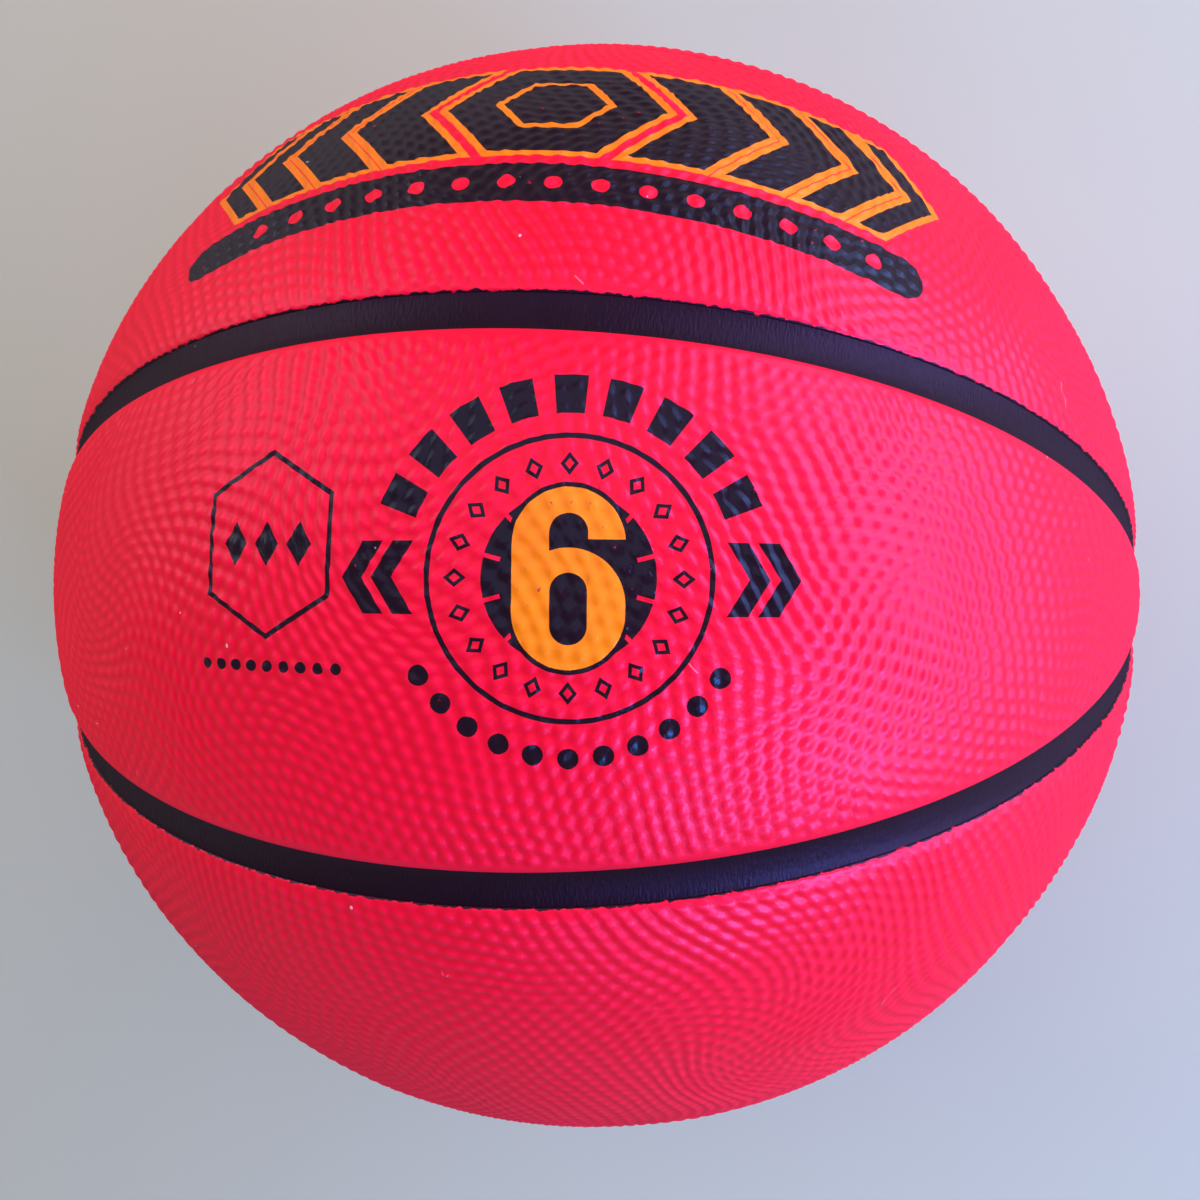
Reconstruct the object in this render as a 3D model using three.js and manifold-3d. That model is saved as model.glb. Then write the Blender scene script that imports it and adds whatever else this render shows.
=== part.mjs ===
// A size 6 rubber basketball with eight equal panels that run from pole to pole.
// The origin is the middle of the ball, the poles lie on the X axis and the middle
// of panel 1 faces up, along Z. Panels are counted round from Z towards Y.
// Millimetres.

import * as THREE from 'three';
import { mergeVertices } from 'three/addons/utils/BufferGeometryUtils.js';
import Module from 'manifold-3d';

// The cover
const ballDiameter = 232.4; // over the crowns of the panels, which is 730 round the ball
const panelCount = 8;
const coverThickness = 2.6; // of a panel at its crown
const channelWidth = 6.5; // from panel wall to panel wall
const crownDrop = 0.6; // from a panel's crown down to its shoulder
const crownReach = 8; // over which that fall fades, away from the channel
const lipDrop = 0.6; // from the shoulder down to the wall of the channel
const lipReach = 0.8; // over which the rounding of the lip fades
const panelTipWidth = 0.8; // of the blunt end beside a pole

// The black strips on the floor of the channels
const stripThickness = 0.6; // along the middle of the channel
const stripTipWidth = 0.3; // of the mitred end at a pole

// The layers under the cover
const carcassThickness = 0.6;
const windingThickness = 0.4;
const bladderThickness = 0.6;

// The valve
const valveFaceDepth = 0.4; // below the crown of its panel
const valveLength = 20;
const neckDiameter = 9;
const flangeDiameter = 22;
const flangeThickness = 1.2;
const bulbDiameter = 10.5;
const bulbTipDiameter = 7.5;
const coreDiameter = 5;
const coreLength = 14;
const needleHoleDiameter = 1.8;
const needleHoleDepth = 10;
const ventDiameter = 2;

// Clearances
const layerGap = 0.3; // between one layer and the next
const stripGap = 0.3; // beside a strip, and between two strips at a pole
const valveGap = 0.3; // round the neck, round the core and above the flange

// Facets
const layerDetail = 5; // cuts of each edge of the icosahedron
const rowsPerPanel = 20; // from pole to pole
const broadColumns = 3; // from a panel's shoulder to its crown
const shoulderReaches = 1.8; // lip reaches from a panel's edge to its shoulder
const roundSides = 24; // of the valve

// Worked out from the sizes above
const crownRadius = ballDiameter / 2;
const coverInnerRadius = crownRadius - coverThickness;
const carcassRadius = coverInnerRadius - layerGap;
const windingRadius = carcassRadius - carcassThickness - layerGap;
const bladderRadius = windingRadius - windingThickness - layerGap;
const bladderInnerRadius = bladderRadius - bladderThickness;
const sector = (2 * Math.PI) / panelCount;
const halfSector = sector / 2;
const blankRadius = coverInnerRadius - 2 * coverThickness; // of the underside of an uncut panel

const coverRubber = new THREE.MeshStandardMaterial({ color: 0xf5213f, roughness: 0.5, metalness: 0 });
const channelRubber = new THREE.MeshStandardMaterial({ color: 0x17121a, roughness: 0.6, metalness: 0 });
const carcassRubber = new THREE.MeshStandardMaterial({ color: 0x3a2a24, roughness: 0.85, metalness: 0 });
const windingNylon = new THREE.MeshStandardMaterial({ color: 0xe6e1d3, roughness: 0.7, metalness: 0 });
const bladderButyl = new THREE.MeshStandardMaterial({ color: 0x1d1d1f, roughness: 0.6, metalness: 0 });
const valveRubber = new THREE.MeshStandardMaterial({ color: 0x121214, roughness: 0.5, metalness: 0 });

const wasm = await Module();
wasm.setup();

// A closed geometry as a solid that can be cut
function solidOf(geometry) {
  const bare = geometry.clone();
  bare.deleteAttribute('normal');
  bare.deleteAttribute('uv');
  const merged = mergeVertices(bare);
  return new wasm.Manifold(
    new wasm.Mesh({
      numProp: 3,
      vertProperties: merged.attributes.position.array,
      triVerts: new Uint32Array(merged.index.array),
    }),
  );
}

function geometryOf(solid) {
  const mesh = solid.getMesh();
  const geometry = new THREE.BufferGeometry();
  geometry.setAttribute('position', new THREE.BufferAttribute(mesh.vertProperties, 3));
  geometry.setIndex(new THREE.BufferAttribute(mesh.triVerts, 1));
  geometry.computeVertexNormals();
  return geometry;
}

// A point by its distance from the centre, its angle from the +X pole and its turn
// about the X axis, from Z towards Y
function pointAt(radius, fromPole, turn) {
  const axisDistance = radius * Math.sin(fromPole);
  return [radius * Math.cos(fromPole), axisDistance * Math.sin(turn), axisDistance * Math.cos(turn)];
}

// The closed surface over an outer and an inner grid of points, whose rows follow one
// another from pole to pole and whose columns go across
function closedBetween(outerGrid, innerGrid) {
  const rows = outerGrid.length - 1;
  const columns = outerGrid[0].length - 1;
  const outer = (row, column) => row * (columns + 1) + column;
  const inner = (row, column) => outer(rows + 1, 0) + outer(row, column);
  const faces = [];
  const quad = (a, b, c, d) => faces.push(a, b, c, a, c, d);
  for (let row = 0; row < rows; row++) {
    for (let column = 0; column < columns; column++) {
      quad(outer(row, column), outer(row, column + 1), outer(row + 1, column + 1), outer(row + 1, column));
      quad(inner(row, column), inner(row + 1, column), inner(row + 1, column + 1), inner(row, column + 1));
    }
    quad(outer(row, 0), outer(row + 1, 0), inner(row + 1, 0), inner(row, 0));
    quad(outer(row, columns), inner(row, columns), inner(row + 1, columns), outer(row + 1, columns));
  }
  for (let column = 0; column < columns; column++) {
    quad(outer(0, column), inner(0, column), inner(0, column + 1), outer(0, column + 1));
    quad(outer(rows, column), outer(rows, column + 1), inner(rows, column + 1), inner(rows, column));
  }
  const geometry = new THREE.BufferGeometry();
  const points = [...outerGrid.flat(), ...innerGrid.flat()];
  geometry.setAttribute('position', new THREE.Float32BufferAttribute(points.flat(), 3));
  geometry.setIndex(faces);
  return geometry;
}

// The ball under a layer, as a cutter or as the layer's own outside. Every layer has
// its facets in the same directions, so that the gaps between them are even.
function ballOf(radius) {
  return new THREE.IcosahedronGeometry(radius, layerDetail);
}

// How far from the axis a point is that lies this far from the plane of a seam and
// this far from the plane through the middle of the panel beside it
function axisDistanceAt(fromSeam, fromMiddle) {
  const alongMiddle = (fromSeam + fromMiddle * Math.cos(halfSector)) / Math.sin(halfSector);
  return Math.hypot(fromMiddle, alongMiddle);
}

// The outside of the cover falls away from the crown towards the edge of the panel,
// gently at first and then round the lip.
function coverRadius(fromEdge) {
  return (
    crownRadius - crownDrop * Math.exp(-fromEdge / crownReach) - lipDrop * Math.exp(-fromEdge / lipReach)
  );
}

// The turns of a panel's columns at one row, from one edge over the crown to the
// other. Near the tip they all draw together.
function panelTurns(edge, axisDistance) {
  const shoulder = edge - Math.min((shoulderReaches * lipReach) / axisDistance, edge / (broadColumns + 1));
  const half = [edge];
  for (let i = broadColumns; i > 0; i--) half.push((shoulder * i) / broadColumns);
  return [...half.map((turn) => -turn), 0, ...half.reverse()];
}

// One panel before it is cut from inside, with its middle towards Z. Its walls stand
// at an even distance from the planes of the two seams beside it.
function panelBlank() {
  const tip = axisDistanceAt(channelWidth / 2, panelTipWidth / 2);
  const grid = (edgeRadius, radiusAt) => {
    const first = Math.asin(tip / edgeRadius);
    const rows = [];
    for (let i = 0; i <= rowsPerPanel; i++) {
      const fromPole = first + ((Math.PI - 2 * first) * i) / rowsPerPanel;
      const axisDistance = edgeRadius * Math.sin(fromPole);
      const edge = halfSector - Math.asin(channelWidth / 2 / axisDistance);
      const place = (turn) => pointAt(radiusAt((edge - Math.abs(turn)) * axisDistance), fromPole, turn);
      rows.push(panelTurns(edge, axisDistance).map(place));
    }
    return rows;
  };
  return closedBetween(grid(coverRadius(0), coverRadius), grid(blankRadius, () => blankRadius));
}

// One channel strip, with its seam towards Z. It is hollow across, with its edges as
// high as the walls of the panels, and its ends are mitred to meet the other strips at
// the poles. The facets of its underside rest on the ball that the cover lies on.
function stripGeometry() {
  const halfWidth = channelWidth / 2 - stripGap;
  const tip = axisDistanceAt(stripTipWidth / 2, stripGap / 2);
  const mitre = axisDistanceAt(halfWidth, stripGap / 2);
  const facetAngle = (Math.PI - 2 * Math.asin(mitre / coverInnerRadius)) / rowsPerPanel;
  const underside = coverInnerRadius / Math.cos(facetAngle / 2);
  const floor = underside + stripThickness;
  const across = [-1, -0.5, 0.5, 1];
  const grid = (radius, rise) => {
    const first = Math.asin(tip / radius);
    const full = Math.asin(mitre / radius);
    const angles = [first];
    for (let i = 0; i <= rowsPerPanel; i++) angles.push(full + ((Math.PI - 2 * full) * i) / rowsPerPanel);
    angles.push(Math.PI - first);
    return angles.map((fromPole) => {
      const axisDistance = radius * Math.sin(fromPole);
      const edge = Math.min(
        Math.asin(Math.min(1, halfWidth / axisDistance)),
        halfSector - Math.asin(stripGap / 2 / axisDistance),
      );
      return across.map((share) => pointAt(radius + rise * share ** 2, fromPole, edge * share));
    });
  };
  return closedBetween(grid(floor, coverRadius(0) - floor), grid(underside, 0));
}

// A round piece of the valve, by its outline from the middle of the ball outwards
function turned(outline) {
  return new THREE.LatheGeometry(
    outline.map(([radius, height]) => new THREE.Vector2(radius, height)),
    roundSides,
  );
}

// The valve goes through the middle of the panel three quarters of the way round.
const valvePanel = Math.round((3 / 4) * panelCount);
const valveTurn = valvePanel * sector;
const valveFace = crownRadius - valveFaceDepth;
const valveEnd = valveFace - valveLength;

// The distance from the centre to the nearest facet of a ball made of triangles
function nearestFacet(geometry) {
  const position = geometry.getAttribute('position');
  const corner = [new THREE.Vector3(), new THREE.Vector3(), new THREE.Vector3()];
  const plane = new THREE.Plane();
  let least = Infinity;
  for (let i = 0; i < position.count; i += 3) {
    corner.forEach((point, k) => point.fromBufferAttribute(position, i + k));
    plane.setFromCoplanarPoints(...corner);
    least = Math.min(least, Math.abs(plane.constant));
  }
  return least;
}

// The rubber housing: a neck through all the layers, a flange that is bonded under
// the bladder and a bulb inside it
function housingGeometry() {
  const flangeRoom = nearestFacet(ballOf(bladderInnerRadius)) - valveGap;
  const flangeTop = Math.sqrt(flangeRoom ** 2 - (flangeDiameter / 2) ** 2);
  const flangeBottom = flangeTop - flangeThickness;
  const boreEnd = valveFace - coreLength - valveGap;
  const boreRadius = coreDiameter / 2 + valveGap;
  return turned([
    [ventDiameter / 2, boreEnd],
    [ventDiameter / 2, valveEnd],
    [bulbTipDiameter / 2, valveEnd],
    [bulbDiameter / 2, (valveEnd + flangeBottom) / 2],
    [bulbDiameter / 2, flangeBottom],
    [flangeDiameter / 2, flangeBottom],
    [flangeDiameter / 2, flangeTop],
    [neckDiameter / 2, flangeTop],
    [neckDiameter / 2, valveFace],
    [boreRadius, valveFace],
    [boreRadius, boreEnd],
    [ventDiameter / 2, boreEnd],
  ]);
}

// The rubber core: a plug in the housing, with the blind hole that takes a needle
function coreGeometry() {
  const coreEnd = valveFace - coreLength;
  return turned([
    [0, coreEnd],
    [coreDiameter / 2, coreEnd],
    [coreDiameter / 2, valveFace],
    [needleHoleDiameter / 2, valveFace],
    [needleHoleDiameter / 2, valveFace - needleHoleDepth],
    [0, valveFace - needleHoleDepth],
  ]);
}

// The way for the neck, through every layer and its panel
function neckCutter(turn) {
  const cutter = new THREE.CylinderGeometry(
    neckDiameter / 2 + valveGap,
    neckDiameter / 2 + valveGap,
    2 * valveLength,
    roundSides,
  );
  cutter.translate(0, valveFace, 0);
  cutter.rotateX(Math.PI / 2 - turn);
  return solidOf(cutter);
}

const ball = new THREE.Group();
ball.name = 'ball';

function add(name, geometry, material, turn) {
  const mesh = new THREE.Mesh(geometry, material);
  mesh.name = name;
  mesh.rotation.x = -turn;
  ball.add(mesh);
}

// Each panel's blank is cut from inside by the ball that the cover lies on.
for (let i = 0; i < panelCount; i++) {
  const turn = i * sector;
  const underside = solidOf(ballOf(coverInnerRadius).rotateX(turn));
  let panel = solidOf(panelBlank()).subtract(underside);
  if (i === valvePanel) panel = panel.subtract(neckCutter(0));
  add(`cover_panel_${i + 1}`, geometryOf(panel), coverRubber, turn);
}

for (let i = 0; i < panelCount; i++) {
  add(`channel_strip_${i + 1}`, stripGeometry(), channelRubber, (i + 0.5) * sector);
}

// A layer under the cover is a hollow ball with a hole for the neck of the valve.
function addLayer(name, radius, thickness, material) {
  const hollow = solidOf(ballOf(radius)).subtract(solidOf(ballOf(radius - thickness)));
  add(name, geometryOf(hollow.subtract(neckCutter(valveTurn))), material, 0);
}

addLayer('carcass', carcassRadius, carcassThickness, carcassRubber);
addLayer('nylon_winding', windingRadius, windingThickness, windingNylon);
addLayer('bladder', bladderRadius, bladderThickness, bladderButyl);

const valve = new THREE.Group();
valve.rotation.x = Math.PI / 2 - valveTurn;
const housing = new THREE.Mesh(housingGeometry(), valveRubber);
housing.name = 'valve_housing';
const core = new THREE.Mesh(coreGeometry(), valveRubber);
core.name = 'valve_core';
valve.add(housing, core);
ball.add(valve);

export default ball;
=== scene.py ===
import math

import bpy
import numpy as np
from mathutils import Matrix, Vector
from mathutils.geometry import delaunay_2d_cdt


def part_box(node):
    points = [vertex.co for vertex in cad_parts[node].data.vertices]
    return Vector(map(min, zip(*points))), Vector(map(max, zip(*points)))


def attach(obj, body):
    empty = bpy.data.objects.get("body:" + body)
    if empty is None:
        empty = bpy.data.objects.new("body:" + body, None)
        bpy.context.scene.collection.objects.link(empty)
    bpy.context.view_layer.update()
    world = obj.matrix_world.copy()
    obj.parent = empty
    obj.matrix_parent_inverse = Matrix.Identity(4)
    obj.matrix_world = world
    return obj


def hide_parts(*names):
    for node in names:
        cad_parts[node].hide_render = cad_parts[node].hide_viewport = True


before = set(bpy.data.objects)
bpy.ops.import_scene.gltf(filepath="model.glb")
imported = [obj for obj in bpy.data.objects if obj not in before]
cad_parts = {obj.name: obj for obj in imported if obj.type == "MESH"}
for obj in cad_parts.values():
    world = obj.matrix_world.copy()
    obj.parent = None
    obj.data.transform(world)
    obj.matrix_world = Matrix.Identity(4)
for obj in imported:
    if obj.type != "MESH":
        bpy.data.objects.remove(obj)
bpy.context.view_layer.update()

# A size 6 rubber basketball. The origin is its middle, the poles lie on the X axis and the
# middle of panel 1 faces up. Lengths are in millimetres until a mesh is made.
mm = 0.001


# The layers under the cover: a butyl rubber bladder that holds the air, nylon thread wound
# round it, and the rubber carcass that is moulded over the thread. The cover hides them.
def add_node(tree, kind, inputs, **settings):
    node = tree.nodes.new("ShaderNode" + kind)
    for name, value in settings.items():
        setattr(node, name, value)
    for key, value in inputs.items():
        if isinstance(value, bpy.types.NodeSocket):
            tree.links.new(value, node.inputs[key])
        else:
            node.inputs[key].default_value = value
    return node


def new_group(name, inputs, outputs):
    tree = bpy.data.node_groups.new(name, "ShaderNodeTree")
    for socket, kind in inputs.items():
        tree.interface.new_socket(socket, in_out="INPUT", socket_type="NodeSocket" + kind)
    for socket, kind in outputs.items():
        tree.interface.new_socket(socket, in_out="OUTPUT", socket_type="NodeSocket" + kind)
    return tree, tree.nodes.new("NodeGroupInput").outputs, tree.nodes.new("NodeGroupOutput").inputs


def math_node(tree, operation, first, second=0.0):
    return add_node(tree, "Math", {0: first, 1: second}, operation=operation).outputs[0]


def mixed(tree, factor, first, second):
    return add_node(tree, "Mix", {0: factor, 6: first, 7: second}, data_type="RGBA").outputs[2]


def colour(red, green, blue):
    """A colour as it is seen, from 0 to 255, as the shader's own numbers"""
    seen = [part / 255 for part in (red, green, blue)]
    return (*[((part + 0.055) / 1.055) ** 2.4 if part > 0.04 else part / 12.92 for part in seen], 1)


# Moulded rubber has a fine grain from the mould, and its colour isn't quite even
grain_group, grain_in, grain_out = new_group(
    "moulded grain",
    {"Position": "Vector", "Grain Size": "Float", "Cloud Size": "Float"},
    {"Height": "Float", "Cloud": "Float"},
)
for size_name, out_name, detail in (("Grain Size", "Height", 4.0), ("Cloud Size", "Cloud", 3.0)):
    scale = math_node(grain_group, "DIVIDE", 1.0, grain_in[size_name])
    noise = add_node(
        grain_group, "TexNoise", {"Vector": grain_in["Position"], "Scale": scale, "Detail": detail}
    )
    grain_group.links.new(noise.outputs[0], grain_out[out_name])


def place_group(tree, group, values):
    """A shared group in a material, fed with places on the ball"""
    place = add_node(tree, "TexCoord", {}).outputs["Object"]
    return add_node(tree, "Group", {"Position": place, **values}, node_tree=group).outputs


# Seen along the surface, the grain hides most of the gloss
rim_dulling = 0.6


def rubber(name, low, high, roughness, grain_size=0.3, grain_depth=0.03, cloud_size=18):
    """A rubber whose colour and gloss drift between two values, with a fine grain"""
    material = bpy.data.materials.new(name)
    material.use_nodes = True
    tree = material.node_tree
    shader = tree.nodes["Principled BSDF"]
    sizes = {"Grain Size": grain_size * mm, "Cloud Size": cloud_size * mm}
    grain = place_group(tree, grain_group, sizes)
    tint = mixed(tree, grain["Cloud"], colour(*low), colour(*high))
    tree.links.new(tint, shader.inputs["Base Color"])
    gloss = add_node(
        tree,
        "MapRange",
        {"Value": grain["Cloud"], "To Min": roughness[0], "To Max": roughness[1]},
    )
    facing = add_node(tree, "LayerWeight", {"Blend": 0.5}).outputs["Facing"]
    dulled = math_node(tree, "MULTIPLY", math_node(tree, "POWER", facing, 2.0), rim_dulling)
    tree.links.new(math_node(tree, "ADD", gloss.outputs[0], dulled), shader.inputs["Roughness"])
    bump = add_node(
        tree,
        "Bump",
        {"Strength": 1.0, "Distance": grain_depth * mm, "Height": grain["Height"]},
    )
    tree.links.new(bump.outputs[0], shader.inputs["Normal"])
    return material, tree, shader


def laid_over(tree, shader, mask, paint):
    """Another colour over what a surface has so far, where a mask is 1"""
    below = shader.inputs["Base Color"].links[0].from_socket
    tree.links.new(mixed(tree, mask, below, paint), shader.inputs["Base Color"])


for node, name, low, high, roughness in (
    ("bladder", "bladder_butyl", (24, 24, 27), (38, 38, 42), (0.45, 0.6)),
    ("carcass", "carcass_rubber", (58, 42, 36), (78, 58, 48), (0.75, 0.9)),
    ("nylon_winding", "winding_nylon", (214, 208, 192), (240, 236, 226), (0.5, 0.7)),
):
    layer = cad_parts[node]
    layer.data.materials.clear()
    layer.data.materials.append(rubber(name, low, high, roughness)[0])


# The two inks: black and golden yellow, printed on the pebbled rubber of panels 1 and 2.
# Each print is a list of closed outlines, drawn in order, the later ones over the earlier.
# The round mark carries the size number, and the other prints are plain motifs.
bare, black, yellow = 0, 1, 2
ball_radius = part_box("cover_panel_1")[1].z / mm


def arc(middle, radius, start, end, steps):
    turns = np.linspace(start, end, steps)
    return [(middle[0] + radius * math.cos(a), middle[1] + radius * math.sin(a)) for a in turns]


def disc(radius, middle=(0, 0)):
    steps = max(16, int(radius * 8))
    return arc(middle, radius, 0, math.tau * (1 - 1 / steps), steps)


def upright(half_width, bottom, top, steps=24):
    """A slot with round ends that stands upright"""
    upper = arc((0, top - half_width), half_width, 0, math.pi, steps)
    lower = arc((0, bottom + half_width), half_width, math.pi, math.tau, steps)
    return upper + lower


def flat_slot(left, right, middle, half_height):
    """A slot with round ends that lies flat"""
    start = arc((left + half_height, middle), half_height, math.pi / 2, 3 * math.pi / 2, 16)
    end = arc((right - half_height, middle), half_height, -math.pi / 2, math.pi / 2, 16)
    return start + end


def turned_about(outline, angle):
    c, s = math.cos(angle), math.sin(angle)
    return [(x * c - y * s, x * s + y * c) for x, y in outline]


def moved(outline, x, y):
    return [(px + x, py + y) for px, py in outline]


def grown(outline, width):
    """A polygon whose sides all lie further out by a width"""
    corners = np.array(outline)
    side = corners - np.roll(corners, 1, axis=0)
    outwards = np.stack([side[:, 1], -side[:, 0]], 1) / np.linalg.norm(side, axis=1)[:, None]
    mitre = outwards + np.roll(outwards, -1, axis=0)
    return corners + width * mitre * (2 / (mitre**2).sum(1))[:, None]


def ring_sector(inner, outer, start, end, longest=0.8):
    steps = max(3, int((end - start) * outer / longest))
    return arc((0, 0), outer, start, end, steps) + arc((0, 0), inner, end, start, steps)


size_mark = [
    (black, disc(21.2)),
    (bare, disc(20.4)),
    (black, disc(12.7)),
]
ray = [(10.2, -0.32), (13.2, -0.32), (13.2, 0.32), (10.2, 0.32)]
ray_count = 12
for i in range(ray_count):
    size_mark.append((bare, turned_about(ray, (i + 0.5) * math.tau / ray_count)))
lozenge_circle = 16.6
lozenge_count = 20
for i in range(lozenge_count):
    for ink, half in ((black, 1.7), (bare, 0.85)):
        lozenge = moved([(half, 0), (0, half * 0.8), (-half, 0), (0, -half * 0.8)], lozenge_circle, 0)
        size_mark.append((ink, turned_about(lozenge, i * math.tau / lozenge_count)))
size_mark += [
    (black, upright(8.9, -13.9, 13.9)),
    (yellow, upright(8.2, -13.2, 13.2)),
    (black, upright(2.8, -6.0, 9.4)),
    (black, [(0, -4.0), (8.9, -4.0), (8.9, 5.6), (0, 5.6)]),
    (yellow, upright(8.2, -13.2, 4.4, 32)),
    (black, upright(2.7, -9.6, 0.8)),
]
block_half_angle = 0.085
for i in range(9):
    middle = math.radians(154 - i * 16)
    block = ring_sector(24.2, 30.2, middle - block_half_angle, middle + block_half_angle)
    size_mark.append((black, block))
dot_circle = 26.4
for i in range(11):
    middle = math.radians(-147 + i * 11.4)
    dot = disc(1.6, (dot_circle * math.cos(middle), dot_circle * math.sin(middle)))
    size_mark.append((black, dot))
small_chevron = [(3.4, 0), (0, -5.4), (3.2, -5.4), (6.6, 0), (3.2, 5.4), (0, 5.4)]
for side in (1, -1):
    for inner in (22.9, 27.6):
        chevron = [(side * (inner + x), y) for x, y in small_chevron][::side]
        size_mark.append((black, chevron))

tall_hexagon = [(0, -13.6), (10.8, -7.4), (10.8, 7.4), (0, 13.6), (-10.8, 7.4), (-10.8, -7.4)]
side_mark = [
    (black, grown(tall_hexagon, 0.8)),
    (bare, tall_hexagon),
]
for x in (-6.0, 0.0, 6.0):
    side_mark.append((black, [(x, -3.4), (x + 2.2, 0), (x, 3.4), (x - 2.2, 0)]))
for i in range(9):
    side_mark.append((black, disc(0.9, (3.1 * (i - 4), -18.6))))

band_half_height = 14.6
yellow_rim = 1.3
hexagon = [(-19, 0), (-9, -band_half_height), (9, -band_half_height), (19, 0)]
hexagon += [(9, band_half_height), (-9, band_half_height)]
band = [
    (yellow, grown(hexagon, yellow_rim)),
    (black, hexagon),
    (yellow, [(0.55 * x, 0.55 * y) for x, y in hexagon]),
    (black, [(0.47 * x, 0.47 * y) for x, y in hexagon]),
]
for side in (1, -1):
    start = 14.5
    for width in (12.5, 9.5, 7.0, 4.5):
        foot = start - 0.5
        chevron = [
            (foot, -band_half_height),
            (foot + width, -band_half_height),
            (foot + width + 10, 0),
            (foot + width, band_half_height),
            (foot, band_half_height),
            (foot + 10, 0),
        ]
        chevron = [(side * x, y) for x, y in chevron][::side]
        band.append((yellow, grown(chevron, yellow_rim)))
        band.append((black, chevron))
        start += width + 3.4
bar_middle = -22.4
band.append((black, flat_slot(-68, 66, bar_middle, 4.4)))
for i in range(15):
    band.append((bare, disc(1.5, (-50 + i * 7.6, bar_middle))))

# Each print with its place along and across the panel, from the panel's middle
prints = {
    1: [(size_mark, 18.9, 3.8), (side_mark, -29.0, 8.5)],
    2: [(band, 8.5, 1.5)],
}

# What handling leaves on the cover and the channels: sparse pale specks of dust, and short
# hairline scuffs
marks_group, marks_in, marks_out = new_group(
    "handling marks",
    {"Position": "Vector", "Speck Spacing": "Float", "Scuff Spacing": "Float"},
    {"Specks": "Float", "Scuffs": "Float"},
)
scale = math_node(marks_group, "DIVIDE", 1.0, marks_in["Speck Spacing"])
cells = add_node(marks_group, "TexVoronoi", {"Vector": marks_in["Position"], "Scale": scale})
chosen = add_node(marks_group, "SeparateColor", {"Color": cells.outputs["Color"]}).outputs
# Only the cells that draw a high number hold a speck
speck_growth, speck_rarity = 0.09, -0.052
speck_radius = math_node(marks_group, "MULTIPLY_ADD", chosen[0], speck_growth)
speck_radius.node.inputs[2].default_value = speck_rarity
specks = math_node(marks_group, "LESS_THAN", cells.outputs["Distance"], speck_radius)
marks_group.links.new(specks, marks_out["Specks"])
scuff_bend, scuff_width, scuff_rarity = 0.006, 0.004, 0.69
scale = math_node(marks_group, "DIVIDE", 1.0, marks_in["Scuff Spacing"])
bend = add_node(marks_group, "TexNoise", {"Vector": marks_in["Position"], "Scale": 60.0})
bent = add_node(
    marks_group,
    "VectorMath",
    {0: bend.outputs["Color"], 1: (scuff_bend,) * 3, 2: marks_in["Position"]},
    operation="MULTIPLY_ADD",
)
edges = add_node(
    marks_group, "TexVoronoi", {"Vector": bent.outputs[0], "Scale": scale}, feature="DISTANCE_TO_EDGE"
)
hairline = math_node(marks_group, "LESS_THAN", edges.outputs["Distance"], scuff_width)
reach = add_node(marks_group, "TexNoise", {"Vector": marks_in["Position"], "Scale": 95.0})
reached = math_node(marks_group, "GREATER_THAN", reach.outputs[0], scuff_rarity)
marks_group.links.new(math_node(marks_group, "MULTIPLY", hairline, reached), marks_out["Scuffs"])

cover_rubber, tree, shader = rubber(
    "cover_rubber", (242, 10, 46), (249, 16, 56), (0.28, 0.36), grain_size=0.5, grain_depth=0.04
)
# Painted shade: where the relief is low, between the pebbles and on the smooth margins, a darker red is
# mixed into the cover's colour, the lower the darker
relief = add_node(tree, "Attribute", {}, attribute_name="relief").outputs["Fac"]
valley_shade_level = 0.75
valley = math_node(tree, "SUBTRACT", valley_shade_level, relief)
laid_over(tree, shader, valley, colour(226, 3, 30))
# The black of the channels runs a little over the edges of every other panel
from_black = add_node(tree, "Attribute", {}, attribute_name="from_black").outputs["Fac"]
place = add_node(tree, "TexCoord", {}).outputs["Object"]
rag = add_node(tree, "TexNoise", {"Vector": place, "Scale": 760.0, "Detail": 2.0}).outputs[0]
overrun_reach, overrun_less, overrun_off_crowns, overrun_softness = 0.9, 0.18, 0.15, 0.05
overrun = math_node(tree, "SUBTRACT", math_node(tree, "MULTIPLY", rag, overrun_reach), overrun_less)
off_crowns = math_node(tree, "MULTIPLY", relief, overrun_off_crowns)
overrun = math_node(tree, "SUBTRACT", overrun, off_crowns)
inside = math_node(tree, "SUBTRACT", overrun, from_black)
lapped = add_node(tree, "MapRange", {"Value": inside, "From Min": 0.0, "From Max": overrun_softness})
laid_over(tree, shader, lapped.outputs[0], colour(30, 7, 14))
cover_marks = {"Speck Spacing": 9 * mm, "Scuff Spacing": 26 * mm}
marks = place_group(tree, marks_group, cover_marks)
for mark, strength, pale in (("Scuffs", 0.25, (255, 170, 200)), ("Specks", 0.7, (255, 205, 220))):
    laid_over(tree, shader, math_node(tree, "MULTIPLY", marks[mark], strength), colour(*pale))
shader.inputs["Specular IOR Level"].default_value = 0.32
shader.inputs["Specular Tint"].default_value = (1, 0.38, 1, 1)

# The inks lie thin on the pebbles: on the crowns the ink is worn through in places
wear_group, wear_in, wear_out = new_group(
    "ink wear", {"Position": "Vector", "Relief": "Float"}, {"Worn": "Float"}
)
holes = add_node(wear_group, "TexNoise", {"Vector": wear_in["Position"], "Scale": 1400.0, "Detail": 3.0})
patches = add_node(wear_group, "TexNoise", {"Vector": wear_in["Position"], "Scale": 110.0})
level = math_node(wear_group, "MULTIPLY", patches.outputs[0], wear_in["Relief"])
level = math_node(wear_group, "MULTIPLY", level, holes.outputs[0])
whole, worn_off = 0.33, 0.38
worn = add_node(wear_group, "MapRange", {"Value": level, "From Min": whole, "From Max": worn_off})
wear_group.links.new(worn.outputs[0], wear_out["Worn"])


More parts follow.
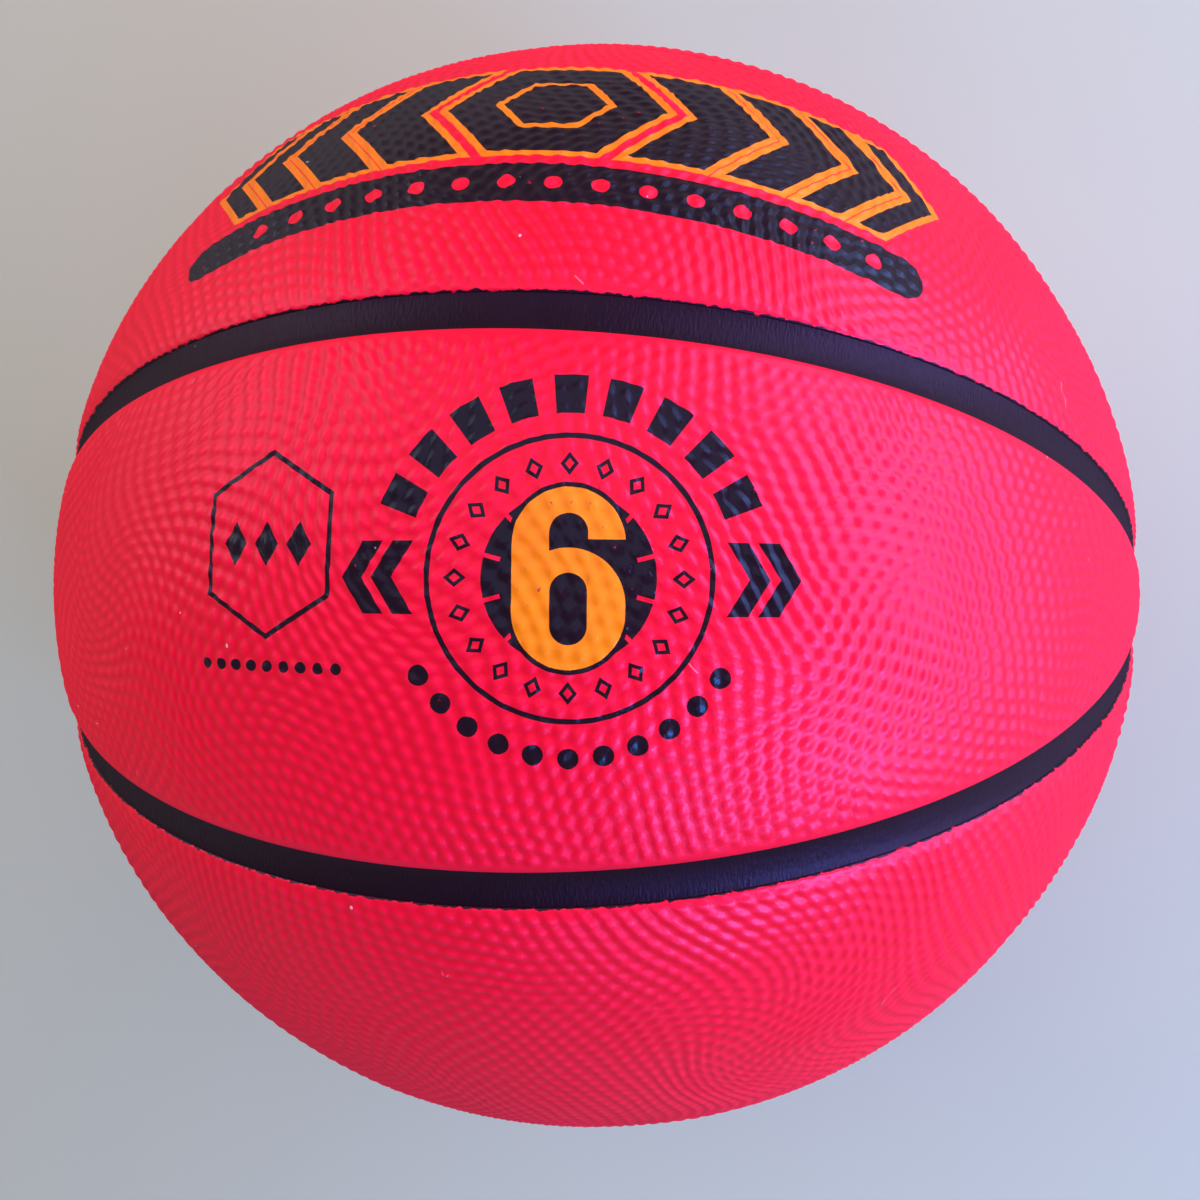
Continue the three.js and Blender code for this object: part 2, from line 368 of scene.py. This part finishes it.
def printed_ink(name, low, high, roughness):
    material, tree, shader = rubber(name, low, high, roughness)
    relief = add_node(tree, "Attribute", {}, attribute_name="relief").outputs["Fac"]
    worn = place_group(tree, wear_group, {"Relief": relief})["Worn"]
    laid_over(tree, shader, worn, colour(190, 12, 40))
    specks = place_group(tree, marks_group, cover_marks)["Specks"]
    laid_over(tree, shader, math_node(tree, "MULTIPLY", specks, 0.5), colour(190, 170, 180))
    return material, shader


ink_black, shader = printed_ink("ink_black", (26, 7, 15), (36, 11, 21), (0.15, 0.22))
shader.inputs["Specular IOR Level"].default_value = 0.22
shader.inputs["Specular Tint"].default_value = (0.22, 0.5, 1, 1)
ink_yellow, shader = printed_ink("ink_yellow", (236, 104, 3), (248, 128, 8), (0.28, 0.36))
shader.inputs["Specular IOR Level"].default_value = 0.28


# The cover: eight equal panels of coloured rubber, bonded to the carcass and moulded with a
# pebbled face for grip. Each is smooth and rounded along its channels and thins to a blunt
# tip at either pole.
panel_count = 8
sector = math.tau / panel_count
cover_thickness = 2.6
channel_width = 6.5
crown_drop, crown_reach = 0.6, 8
lip_drop, lip_reach = 0.6, 0.8
lip_round = 0.25
tip_width = 0.8
pebble_pitch = 3.0
pebble_height = 0.38
steps_per_pebble = 5.5
row_strengths = (1.45, 0.95, 0.95)
row_lean = math.radians(-12)
# How much the rows change in strength, bend slowly and wander quickly over a panel
strength_drift, slow_bend, quick_bend = 1.1, 0.8, 1.4
slow_lengths, quick_lengths = (18, 60), (9, 24)
crown_power, crown_drift = 1.05, 0.15
swirl_count, swirl_along, swirl_across = 22, 170, 40
swirl_reach, swirl_turn = (14, 30), (0.25, 0.6)
# The lattice of points reaches past the panel on all sides, because the swirls turn it
lattice_along, lattice_across = 1.1, 2.4
margin_level = 0.5
clean_margin = (0.5, 2.5)
ragged_margin = (0.1, 1.1)
far_from_black = 9
margin_columns = (0, 0.02, 0.07, 0.15, 0.25, 0.45, 0.75, 1.1, 1.5)
margin_step = 0.65
valve_panel = 7
valve_hole_radius = 4.8
valve_hole_round = 0.3
valve_ring_radius = 7.0
valve_rings = (0, 0.05, 0.15, 0.3, 0.7, 1.3, 2.2)
valve_ring_fade = 1.6
# The underside has points of its own, clear of the panel's rim and of the valve's hole
underside_step, clear_of_rim, clear_of_hole = 4.0, 2, 1
lip_radius = ball_radius - crown_drop - lip_drop
inner_radius = ball_radius - cover_thickness


def on_ball(flat):
    """Unit vectors of points on a panel's flat plan, along and across it from its middle"""
    along, across = flat[:, 0] / ball_radius, flat[:, 1] / ball_radius
    return np.stack(
        [np.sin(along) * np.cos(across), np.sin(across), np.cos(along) * np.cos(across)], 1
    )


def on_plan(unit):
    along = np.arctan2(unit[:, 0], unit[:, 2])
    across = np.arcsin(np.clip(unit[:, 1], -1, 1))
    return np.stack([along, across], 1) * ball_radius


def from_edge(flat):
    """How far points on the plan lie from the nearer edge of the panel"""
    unit = on_ball(flat)
    axis_distance = lip_radius * np.hypot(unit[:, 1], unit[:, 2])
    turn = np.abs(np.arctan2(unit[:, 1], unit[:, 2]))
    edge = sector / 2 - np.arcsin(np.clip(channel_width / 2 / axis_distance, 0, 1))
    return (edge - turn) * axis_distance


def faded(value, start, end):
    share = np.clip((value - start) / (end - start), 0, 1)
    return share * share * (3 - 2 * share)


def swirled(flat, swirls):
    """The plan turned about several middles, each turn fading outwards"""
    moved_points = flat.copy()
    for middle_x, middle_y, reach, angle in swirls:
        arm = moved_points - (middle_x, middle_y)
        turn = angle * np.exp(-(arm**2).sum(1) / reach**2)
        c, s = np.cos(turn), np.sin(turn)
        moved_points[:, 0] = middle_x + arm[:, 0] * c - arm[:, 1] * s
        moved_points[:, 1] = middle_y + arm[:, 0] * s + arm[:, 1] * c
    return moved_points


def leaned(flat, angle):
    c, s = math.cos(angle), math.sin(angle)
    return flat @ np.array([[c, s], [-s, c]])


def slow_waves(chance, shortest, longest, count=5):
    waves = []
    for wave, heading in zip(chance.uniform(shortest, longest, count), chance.uniform(0, math.tau, count)):
        turn = math.tau / wave
        waves.append((turn * math.cos(heading), turn * math.sin(heading), chance.uniform(0, math.tau)))
    return waves


def drift(flat, waves):
    """A slow change over the plan, between about -1 and 1"""
    total = sum(np.sin(flat @ np.array(wave[:2]) + wave[2]) for wave in waves)
    return total / len(waves)


def pebble_relief(flat, drifts, wanders):
    """Crossing rows of waves, from 0 in a valley to 1 on a crown, the first the strongest"""
    row_spacing = pebble_pitch * math.sqrt(3) / 2
    total, weight = 0, 0
    for k, strength in enumerate(row_strengths):
        heading = math.radians(30 + 60 * k)
        across_rows = flat @ np.array([math.cos(heading), math.sin(heading)])
        share = strength * (1 + strength_drift * drift(flat, drifts[k]))
        phase = slow_bend * drift(flat, drifts[3]) * (-1) ** k + quick_bend * drift(flat, wanders[k])
        total = total + share * np.cos(math.tau * across_rows / row_spacing + phase)
        weight = weight + share
    # Three crossing waves add up to between -0.5 and 1 of their weight
    crown = np.clip((total / weight + 0.5) / 1.5, 0, 1)
    return crown**crown_power * (1 + crown_drift * drift(flat, drifts[4]))


def panel_outline():
    """Rows of points from pole to pole, from each edge inwards to the first pebbles"""
    half_tip = tip_width / 2
    along_middle = (channel_width / 2 + half_tip * math.cos(sector / 2)) / math.sin(sector / 2)
    first = math.asin(math.hypot(half_tip, along_middle) / lip_radius)
    rows = int((math.pi - 2 * first) * lip_radius / margin_step)
    sides = {}
    for side in (1, -1):
        grid = []
        for from_pole in np.linspace(math.pi - first, first, rows):
            axis_distance = lip_radius * math.sin(from_pole)
            edge = sector / 2 - math.asin(channel_width / 2 / axis_distance)
            most = edge * axis_distance
            for i, depth in enumerate(margin_columns):
                reach = min(depth, most * i / (len(margin_columns) - 1))
                turn = side * (edge - reach / axis_distance)
                grid.append(
                    (
                        math.cos(from_pole),
                        math.sin(from_pole) * math.sin(turn),
                        math.sin(from_pole) * math.cos(turn),
                    )
                )
        sides[side] = on_plan(np.array(grid)).reshape(rows, len(margin_columns), 2)
    return sides


def print_on_plan(outline, x, y):
    """An outline in true lengths about its own middle, as points on a panel's plan"""
    middle = on_ball(np.array([[x, y]]))[0]
    along = np.cross((0, 1, 0), middle)
    along = along / np.linalg.norm(along)
    across = np.cross(middle, along)
    shape = np.array(outline, float)
    reach = np.hypot(shape[:, 0], shape[:, 1])
    safe = np.maximum(reach, 1e-9)
    heading = (shape[:, :1] * along + shape[:, 1:] * across) / safe[:, None]
    arm = (reach / ball_radius)[:, None]
    return on_plan(np.cos(arm) * middle + np.sin(arm) * heading)


def divided(outline, longest=1.0):
    """An outline with its long sides cut into short ones"""
    points = []
    corners = np.array(outline, float)
    for start, end in zip(corners, np.roll(corners, -1, axis=0)):
        parts = max(1, math.ceil(np.linalg.norm(end - start) / longest))
        points += [start + (end - start) * i / parts for i in range(parts)]
    return np.array(points)


def triangles(points, edges, loops):
    """The triangles between points that keep the edges, and the loops that each lies in"""
    found = delaunay_2d_cdt([Vector(p) for p in points], edges, loops, 0, 1e-5, True)
    places = np.array([tuple(p) for p in found[0]])
    return places, np.array(found[2]), found[5]


def closed_shell(flat, top, radii, underside):
    """The outer points and faces of a panel with walls and an underside, as one closed mesh"""
    points = on_ball(flat) * radii[:, None]
    sides = np.concatenate([top[:, [0, 1]], top[:, [1, 2]], top[:, [2, 0]]])
    known = set(map(tuple, sides.tolist()))
    rim = [pair for pair in known if (pair[1], pair[0]) not in known]
    follow = dict(rim)
    loops, left = [], set(follow)
    while left:
        start = min(left)
        loop, at = [], start
        while at in left:
            left.discard(at)
            loop.append(at)
            at = follow[at]
        loops.append(loop)
    loops.sort(key=len, reverse=True)
    count = len(flat)
    under_points = np.concatenate([*(flat[loop] for loop in loops), underside])
    under_loops, at = [], 0
    for loop in loops:
        ids = list(range(at, at + len(loop)))
        # A hole's rim runs the other way round from the outer rim
        under_loops.append(ids[::-1] if under_loops else ids)
        at += len(loop)
    places, faces, owners = triangles(under_points, [], under_loops)
    keep = [i for i, owner in enumerate(owners) if 0 in owner and len(owner) == 1]
    lower_faces = faces[keep][:, ::-1] + count
    lower_points = on_ball(places) * inner_radius
    # The rim keeps its order in the lower points, so each wall joins like to like
    walls, at = [], count
    for loop in loops:
        size = len(loop)
        for i in range(size):
            a, b = loop[i], loop[(i + 1) % size]
            low_a, low_b = at + i, at + (i + 1) % size
            walls += [(b, a, low_a), (b, low_a, low_b)]
        at += size
    return np.concatenate([points, lower_points]), np.concatenate([lower_faces, np.array(walls)])


def panel_mesh(number, chance):
    outline = panel_outline()
    rows, columns = outline[1].shape[:2]
    points, edges, loops = [], [], []

    def add(new):
        start = sum(len(p) for p in points)
        points.append(np.array(new))
        return list(range(start, start + len(new)))

    rails = {}
    for side in (1, -1):
        ids = np.array(add(outline[side].reshape(-1, 2))).reshape(rows, columns)
        rails[side] = ids
        for column in range(1, columns):
            edges += list(zip(ids[:-1, column].tolist(), ids[1:, column].tolist()))
    rim = rails[-1][:, 0].tolist() + rails[-1][-1, 1:].tolist() + rails[1][-1, -2::-1].tolist()[:-1]
    rim += rails[1][::-1, 0].tolist() + rails[1][0, 1:].tolist() + rails[-1][0, -2:0:-1].tolist()
    loops.append(rim)

    has_valve = number == valve_panel
    if has_valve:
        for ring in valve_rings:
            ids = add(disc(valve_hole_radius + ring))
            if ring == 0:
                loops.append(ids)
            else:
                edges += list(zip(ids, ids[1:] + ids[:1]))
    first_print = len(loops)
    inks = []
    for drawn, x, y in prints.get(number, []):
        for ink, outline_points in drawn:
            loops.append(add(print_on_plan(divided(outline_points), x, y)))
            inks.append(ink)

    swirls = [
        (
            chance.uniform(-swirl_along, swirl_along),
            chance.uniform(-swirl_across, swirl_across),
            chance.uniform(*swirl_reach),
            chance.choice([-1, 1]) * chance.uniform(*swirl_turn),
        )
        for _ in range(swirl_count)
    ]
    drifts = [slow_waves(chance, *slow_lengths) for _ in range(5)]
    wanders = [slow_waves(chance, *quick_lengths) for _ in range(3)]
    step = pebble_pitch / steps_per_pebble
    length, width = math.pi * ball_radius, sector * ball_radius
    across_count = int(width * lattice_across / (step * math.sqrt(3) / 2))
    along_count = int(length * lattice_along / step)
    i, j = np.meshgrid(np.arange(along_count), np.arange(across_count))
    lattice = np.stack([(i + j % 2 / 2) * step, j * step * math.sqrt(3) / 2], -1).reshape(-1, 2)
    lattice = lattice - lattice.mean(0) // pebble_pitch * pebble_pitch
    flat = swirled(leaned(lattice, row_lean), swirls)
    inner = from_edge(flat) > margin_columns[-1] + 0.5 * step
    inner &= np.abs(flat[:, 0]) < length / 2
    if has_valve:
        inner &= np.hypot(flat[:, 0], flat[:, 1]) > valve_hole_radius + valve_rings[-1] + 0.5 * step
    add(flat[inner])

    places, faces, owners = triangles(np.concatenate(points), edges, loops)
    unwind = [(x, y, reach, -angle) for x, y, reach, angle in reversed(swirls)]
    keep = [k for k, owner in enumerate(owners) if 0 in owner and not (has_valve and 1 in owner)]
    faces = faces[keep]
    ink = [max(owners[k]) - first_print for k in keep]
    ink = np.array([inks[k] if k >= 0 and inks else bare for k in ink])

    depth = from_edge(places)
    relief = pebble_relief(leaned(swirled(places, unwind), -row_lean), drifts, wanders)
    is_ragged = number % 2 == 0
    smooth = 1 - faded(depth, *(ragged_margin if is_ragged else clean_margin))
    if has_valve:
        from_valve = np.hypot(places[:, 0], places[:, 1])
        ring_end = valve_ring_radius + valve_ring_fade
        smooth = np.maximum(smooth, 1 - faded(from_valve, valve_ring_radius, ring_end))
    relief = relief * (1 - smooth) + margin_level * smooth
    radii = ball_radius - crown_drop * np.exp(-depth / crown_reach) - lip_drop * np.exp(-depth / lip_reach)
    radii = radii - pebble_height * (1 - relief)
    rounding = np.clip(1 - np.maximum(depth, 0) / lip_round, 0, 1)
    radii = radii - lip_round * (1 - np.sqrt(1 - rounding**2))
    if has_valve:
        rounding = np.clip(1 - (from_valve - valve_hole_radius) / valve_hole_round, 0, 1)
        radii = radii - valve_hole_round * (1 - np.sqrt(1 - rounding**2))

    along_steps = np.arange(-180, 181, underside_step)
    grid = np.stack(np.meshgrid(along_steps, np.arange(-44, 45, underside_step)), -1)
    grid = grid.reshape(-1, 2)
    grid = grid[from_edge(grid) > clear_of_rim]
    if has_valve:
        grid = grid[np.hypot(grid[:, 0], grid[:, 1]) > valve_hole_radius + clear_of_hole]
    solid, closing = closed_shell(places, faces, radii, grid)
    all_faces = np.concatenate([faces, closing])
    all_inks = np.concatenate([ink, np.full(len(closing), bare)])
    all_relief = np.concatenate([relief, np.full(len(solid) - len(relief), margin_level)])
    from_black = np.full(len(solid), far_from_black)
    if is_ragged:
        from_black = from_edge(on_plan(solid / np.linalg.norm(solid, axis=1)[:, None]))
    return solid, all_faces, all_inks, {"relief": all_relief, "from_black": from_black}


def make_piece(name, points, faces, materials, turn=0.0):
    mesh = bpy.data.meshes.new(name)
    spin = np.array(Matrix.Rotation(-turn, 3, "X"))
    mesh.from_pydata((points @ spin.T * mm).tolist(), [], faces.tolist())
    for material in materials:
        mesh.materials.append(material)
    mesh.shade_smooth()
    piece = bpy.data.objects.new(name, mesh)
    bpy.context.scene.collection.objects.link(piece)
    return piece


for number in range(1, panel_count + 1):
    chance = np.random.default_rng(100 + number)
    points, faces, inks, values = panel_mesh(number, chance)
    materials = [cover_rubber, ink_black, ink_yellow]
    panel = make_piece(f"panel_{number}", points, faces, materials, (number - 1) * sector)
    panel.data.polygons.foreach_set("material_index", inks.astype(np.int32))
    for value_name, numbers in values.items():
        attribute = panel.data.attributes.new(value_name, "FLOAT", "POINT")
        attribute.data.foreach_set("value", numbers.astype(np.float32))
    panel.data.set_sharp_from_angle(angle=math.radians(60))
    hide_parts(f"cover_panel_{number}")
    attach(panel, "root")


# The channel strips: black rubber that is bonded to the carcass along the floor of each
# channel, hollow across and mitred against the others at the poles.
channel_rubber, tree, shader = rubber(
    "channel_rubber",
    (15, 3, 6),
    (29, 8, 15),
    (0.30, 0.46),
    grain_size=0.9,
    grain_depth=0.07,
    cloud_size=5,
)
shader.inputs["Specular IOR Level"].default_value = 0.18
shader.inputs["Specular Tint"].default_value = (0.6, 0.35, 1, 1)
specks = place_group(tree, marks_group, {"Speck Spacing": 7 * mm})["Specks"]
laid_over(tree, shader, math_node(tree, "MULTIPLY", specks, 0.5), colour(150, 130, 150))
# Fine slanting streaks, as a brush leaves them, run along each strip
brushed = add_node(tree, "Attribute", {}, attribute_name="brush_place").outputs["Vector"]
slant = add_node(
    tree, "Mapping", {"Vector": brushed, "Rotation": (0, 0, 0.6), "Scale": (1.0, 0.22, 1.0)}
)
streaks = add_node(tree, "TexNoise", {"Vector": slant.outputs[0], "Scale": 2.4, "Detail": 3.0})
streak_depth = 0.12
grained = shader.inputs["Normal"].links[0].from_socket
streak_bump = add_node(
    tree,
    "Bump",
    {
        "Strength": 1.0,
        "Distance": streak_depth * mm,
        "Height": streaks.outputs[0],
        "Normal": grained,
    },
)
tree.links.new(streak_bump.outputs[0], shader.inputs["Normal"])
strip_gap = 0.05
strip_thickness = 0.5
strip_below_lip = 0.03
strip_edge = lip_radius - pebble_height * (1 - margin_level) - lip_round - strip_below_lip
strip_floor = inner_radius + strip_thickness
strip_tip = 0.1
strip_mitre_gap = 0.01
strip_hollow = 2.5
strip_columns = 14
strip_step = 1.2
tip_step, step_growth = 0.05, 0.25
brush_stretch = 400


def strip_mesh():
    half_width = channel_width / 2 - strip_gap
    first = math.asin(strip_tip / strip_floor)
    angles = []
    at = first
    while at < math.pi / 2:
        angles.append(at)
        at += min(strip_step, step_growth * strip_floor * math.sin(at) + tip_step) / strip_floor
    angles = angles + [math.pi - angle for angle in reversed(angles)]
    shares = np.linspace(-1, 1, strip_columns + 1)
    outer, inner, brush = [], [], []
    for from_pole in angles:
        axis_distance = strip_floor * math.sin(from_pole)
        mitre = sector / 2 - strip_mitre_gap / axis_distance
        edge = min(math.asin(min(1, half_width / axis_distance)), mitre)
        for share in shares:
            turn = edge * share
            across = turn * axis_distance / half_width
            rise = strip_floor + (strip_edge - strip_floor) * min(1, abs(across)) ** strip_hollow
            unit = (
                math.cos(from_pole),
                math.sin(from_pole) * math.sin(turn),
                math.sin(from_pole) * math.cos(turn),
            )
            outer.append([rise * part for part in unit])
            inner.append([(inner_radius + strip_gap) * part for part in unit])
            brush.append((from_pole * strip_floor, turn * axis_distance, 0))
    rows, columns = len(angles), len(shares)
    top = np.arange(rows * columns).reshape(rows, columns)
    low = top + rows * columns
    faces = []

    def quad(a, b, c, d):
        faces.extend([(a, b, c), (a, c, d)])

    for r in range(rows - 1):
        for c in range(columns - 1):
            quad(top[r, c], top[r, c + 1], top[r + 1, c + 1], top[r + 1, c])
            quad(low[r, c], low[r + 1, c], low[r + 1, c + 1], low[r, c + 1])
        quad(top[r, 0], top[r + 1, 0], low[r + 1, 0], low[r, 0])
        quad(top[r, -1], low[r, -1], low[r + 1, -1], top[r + 1, -1])
    for c in range(columns - 1):
        quad(top[0, c], low[0, c], low[0, c + 1], top[0, c + 1])
        quad(top[-1, c], top[-1, c + 1], low[-1, c + 1], low[-1, c])
    return np.array(outer + inner), np.array(faces), np.array(brush + brush)


strip_points, strip_faces, strip_brush = strip_mesh()
for number in range(1, panel_count + 1):
    turn = (number - 0.5) * sector
    strip = make_piece(f"channel_{number}", strip_points, strip_faces, [channel_rubber], turn)
    strip.data.set_sharp_from_angle(angle=math.radians(40))
    # Each strip has its own stretch of the streaks
    places = strip.data.attributes.new("brush_place", "FLOAT_VECTOR", "POINT")
    stretch = strip_brush + (brush_stretch * number, 0, 0)
    places.data.foreach_set("vector", stretch.ravel().astype(np.float32))
    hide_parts(f"channel_strip_{number}")
    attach(strip, "root")


# The valve: a black rubber housing that is bonded into the bladder, with its neck flush in
# the cover, and the rubber core that is pushed into it and takes the pump's needle.
valve_rubber, tree, shader = rubber(
    "valve_rubber", (18, 17, 20), (34, 32, 36), (0.38, 0.54), grain_size=0.4, cloud_size=3
)
valve_face_depth = 0.4
valve_face = ball_radius - valve_face_depth
valve_length = 20
neck_radius = 4.5
bore_radius = 2.8
vent_radius = 1.0
flange_radius = 11
flange_top, flange_thickness = 109.7, 1.2
bulb_radius, bulb_tip_radius = 5.25, 3.75
core_radius, core_length = 2.5, 14
needle_radius, needle_depth = 0.9, 10
needle_mouth = 0.35
edge_round = 0.3
round_steps = 96


def turned(outline):
    """A closed outline of radius and height, turned round the vertical axis"""
    angles = np.linspace(0, math.tau, round_steps, endpoint=False)
    count = len(outline)
    points = [(r * math.cos(a), r * math.sin(a), z) for a in angles for r, z in outline]
    faces = []
    for step in range(round_steps):
        here, there = step * count, (step + 1) % round_steps * count
        for i in range(count):
            j = (i + 1) % count
            if outline[i][0] > 0:
                faces.append((here + i, there + i, there + j))
            if outline[j][0] > 0:
                faces.append((here + i, there + j, here + j))
    return points, faces


def round_edge(radius, height, side):
    """The rounded corner where an upright wall meets the face above it"""
    middle = (radius - side * edge_round, height - edge_round)
    ends = (0, math.pi / 2) if side > 0 else (math.pi / 2, math.pi)
    return arc(middle, edge_round, *ends, 6)


flange_bottom = flange_top - flange_thickness
valve_end = valve_face - valve_length
bore_end = valve_face - core_length - strip_gap
housing_outline = [
    (vent_radius, valve_end),
    (bulb_tip_radius, valve_end),
    (bulb_radius, (valve_end + flange_bottom) / 2),
    (bulb_radius, flange_bottom),
    (flange_radius, flange_bottom),
    (flange_radius, flange_top),
    (neck_radius, flange_top),
    *round_edge(neck_radius, valve_face, 1),
    *round_edge(bore_radius, valve_face, -1),
    (bore_radius, bore_end),
    (vent_radius, bore_end),
]
core_outline = [
    (0, valve_face - core_length),
    (core_radius, valve_face - core_length),
    *round_edge(core_radius, valve_face, 1),
    (needle_radius + needle_mouth, valve_face),
    (needle_radius, valve_face - needle_mouth),
    (needle_radius, valve_face - needle_depth),
    (0, valve_face - needle_depth),
]
for name, outline, node in (
    ("valve_body", housing_outline, "valve_housing"),
    ("valve_plug", core_outline, "valve_core"),
):
    points, faces = turned(outline)
    turn = (valve_panel - 1) * sector
    piece = make_piece(name, np.array(points), np.array(faces), [valve_rubber], turn)
    merge = piece.modifiers.new("merge", "WELD")
    merge.merge_threshold = 0.001 * mm
    piece.data.set_sharp_from_angle(angle=math.radians(35))
    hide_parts(node)
    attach(piece, "root")


# The floor is plain and pale, and the ball rests on it on its lowest panel. Bluish windows
# stand round its right side, with a warm lamp overhead and a warm fill at the left. The pale
# room fills the rest.
bpy.ops.mesh.primitive_plane_add(size=8, location=(0, 0, -ball_radius * mm))
floor = bpy.context.object
floor.name = "floor"
floor_paint = bpy.data.materials.new("floor_paint")
floor_paint.use_nodes = True
tree = floor_paint.node_tree
shader = tree.nodes["Principled BSDF"]
shader.inputs["Base Color"].default_value = (0.46, 0.42, 0.36, 1)
shader.inputs["Roughness"].default_value = 0.8


def room_colour(tree):
    """The pale room as it is seen and mirrored, and dimmer as a light"""
    path = add_node(tree, "LightPath", {}).outputs
    seen = math_node(tree, "MAXIMUM", path["Is Camera Ray"], path["Is Glossy Ray"])
    seen = math_node(tree, "MAXIMUM", seen, path["Is Transmission Ray"])
    return mixed(tree, seen, (0.21, 0.205, 0.19, 1), (0.44, 0.44, 0.44, 1))


# Away from the ball the floor runs into the room without a line
floor_near, floor_far = 0.24, 0.6
place = add_node(tree, "TexCoord", {}).outputs["Object"]
distance = add_node(tree, "VectorMath", {0: place}, operation="LENGTH").outputs["Value"]
away = add_node(
    tree,
    "MapRange",
    {"Value": distance, "From Min": floor_near, "From Max": floor_far},
    interpolation_type="SMOOTHSTEP",
)
glow = add_node(tree, "Emission", {"Color": room_colour(tree)})
blend = add_node(tree, "MixShader", {0: away.outputs[0], 1: shader.outputs[0], 2: glow.outputs[0]})
tree.links.new(blend.outputs[0], tree.nodes["Material Output"].inputs["Surface"])
floor.data.materials.append(floor_paint)

world = bpy.data.worlds.new("room")
world.use_nodes = True
tree = world.node_tree
tree.links.new(room_colour(tree), tree.nodes["Background"].inputs["Color"])
bpy.context.scene.world = world


bluish, deep_blue, warm = (0.48, 0.56, 0.9), (0.2, 0.5, 1), (1, 0.96, 0.85)
for name, place, size, power, tint in (
    ("right_window", (1.35, 0.1, 0.42), (1.7, 1.0), 42, bluish),
    ("near_window", (0.96, -0.67, 0.68), (0.38, 0.38), 15, deep_blue),
    ("low_window", (0.4, -1.05, 0.9), (0.4, 0.3), 4, deep_blue),
    ("far_window", (1.0, 1.0, 0.5), (1.2, 1.0), 19, (0.5, 0.58, 0.82)),
    ("overhead", (0.1, 0.6, 1.5), (1.6, 1.6), 10, warm),
    ("left_fill", (-1.2, 0.8, 0.8), (1.2, 1.0), 11, warm),
):
    lamp = bpy.data.lights.new(name, "AREA")
    lamp.shape = "RECTANGLE"
    lamp.size, lamp.size_y = size
    lamp.energy = power
    lamp.color = tint
    holder = bpy.data.objects.new(name, lamp)
    holder.location = place
    holder.rotation_euler = (-Vector(place)).to_track_quat("-Z", "Y").to_euler()
    bpy.context.scene.collection.objects.link(holder)


# The camera looks down on the ball from close by, a little to the right of its middle.
camera_distance = 302.1 * mm
to_camera = Vector((0.198, 0.0214, 0.9798)).normalized()
camera_up = Vector((-0.012, 0.9994, -0.0194))
camera_right = camera_up.cross(to_camera).normalized()
camera_up = to_camera.cross(camera_right)
# The ball's middle lies this far off the picture's middle, as a share of the distance
ball_above_middle = 0.0094065
ball_left_of_middle = 0.0015295
aim = camera_distance * (camera_right * ball_left_of_middle - camera_up * ball_above_middle)
camera = bpy.data.objects.new("camera", bpy.data.cameras.new("camera"))
camera.data.lens = 39.23
camera.data.sensor_width = 36
camera.data.clip_start = 0.01
camera.location = to_camera * camera_distance
view_back = (camera.location - aim).normalized()
view_right = camera_up.cross(view_back).normalized()
view_up = view_back.cross(view_right)
camera.rotation_euler = Matrix((view_right, view_up, view_back)).transposed().to_euler()
bpy.context.scene.collection.objects.link(camera)
bpy.context.scene.camera = camera

bpy.context.scene.view_settings.view_transform = "Standard"
